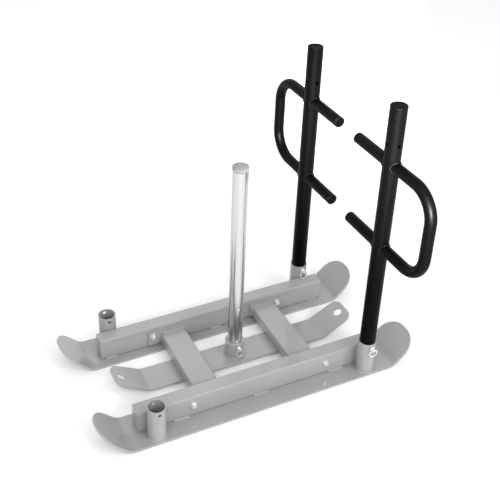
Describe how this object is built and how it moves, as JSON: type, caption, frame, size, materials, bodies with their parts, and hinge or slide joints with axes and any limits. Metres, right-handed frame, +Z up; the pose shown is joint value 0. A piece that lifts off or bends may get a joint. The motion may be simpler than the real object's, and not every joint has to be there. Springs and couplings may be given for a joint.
{
  "type": "push sled",
  "caption": "Low steel sled on turned-up skids with removable uprights, D-shaped handles, a post for plates and a holed pull plate.",
  "frame": {"origin": "on the floor under the middle of the sled", "axes": "+X from the front to the rear, where the uprights stand, +Y from the near skid to the far one, +Z up"},
  "size_m": [1.0872, 0.8908, 0.962],
  "materials": {
    "base_paint": "satin pale grey powder coat",
    "upright_paint": "semi-gloss black powder coat",
    "plug_plastic": "matt black",
    "zinc": "bright zinc plate",
    "post_chrome": "bright chrome plate",
    "cap_plastic": "satin grey"
  },
  "bodies": {
    "sled": {"skid_near": "base_paint", "skid_far": "base_paint", "beam_near": "base_paint", "beam_far": "base_paint", "beam_cap_near_front": "base_paint", "beam_cap_near_rear": "base_paint", "beam_cap_far_front": "base_paint", "beam_cap_far_rear": "base_paint", "socket_near_front": "base_paint", "socket_near_rear": "base_paint", "socket_far_front": "base_paint", "socket_far_rear": "base_paint", "crossbar_front": "base_paint", "crossbar_rear": "base_paint", "flange_near_front": "base_paint", "flange_near_rear": "base_paint", "flange_far_front": "base_paint", "flange_far_rear": "base_paint", "pull_plate": "base_paint", "pull_plate_end_front": "base_paint", "pull_plate_end_rear": "base_paint", "post_socket": "base_paint", "beam_welds_near": "base_paint", "beam_welds_far": "base_paint", "socket_welds": "base_paint", "socket_seams": "base_paint", "crossbar_welds": "base_paint", "post_socket_weld": "base_paint", "upright_near": "upright_paint", "upright_far": "upright_paint", "handle_near": "upright_paint", "handle_far": "upright_paint", "handle_welds_near": "upright_paint", "handle_welds_far": "upright_paint", "upright_cap_near": "plug_plastic", "upright_cap_far": "plug_plastic", "handle_plugs_near": "plug_plastic", "handle_plugs_far": "plug_plastic", "crossbar_bolts": "zinc", "crossbar_nuts": "zinc", "crossbar_washers": "zinc", "weight_post": "post_chrome", "weight_post_cap": "cap_plastic"},
    "pin_near": {"pin_near": "zinc"},
    "pin_far": {"pin_far": "zinc"},
    "pin_post": {"pin_post": "zinc"},
    "ring_near": {"ring_near": "zinc"},
    "ring_far": {"ring_far": "zinc"},
    "ring_post": {"ring_post": "zinc"}
  },
  "joints": [
    {"name": "pin_near_slide", "type": "slide", "parent": "sled", "child": "pin_near", "axis": [0, -1, 0], "range_m": [0, 0.07]},
    {"name": "ring_near_swing", "type": "hinge", "parent": "pin_near", "child": "ring_near", "pos_m": [0.3635, -0.2645, 0.1115], "axis": [1, 0, 0], "range_deg": [-180, 13]},
    {"name": "pin_far_slide", "type": "slide", "parent": "sled", "child": "pin_far", "axis": [0, -1, 0], "range_m": [0, 0.07]},
    {"name": "ring_far_swing", "type": "hinge", "parent": "pin_far", "child": "ring_far", "pos_m": [0.3635, 0.1869, 0.1115], "axis": [1, 0, 0], "range_deg": [-180, 0]},
    {"name": "pin_post_slide", "type": "slide", "parent": "sled", "child": "pin_post", "axis": [0, -1, 0], "range_m": [0, 0.076]},
    {"name": "ring_post_swing", "type": "hinge", "parent": "pin_post", "child": "ring_post", "pos_m": [0, -0.0418, 0.06], "axis": [1, 0, 0], "range_deg": [-180, 13]}
  ]
}
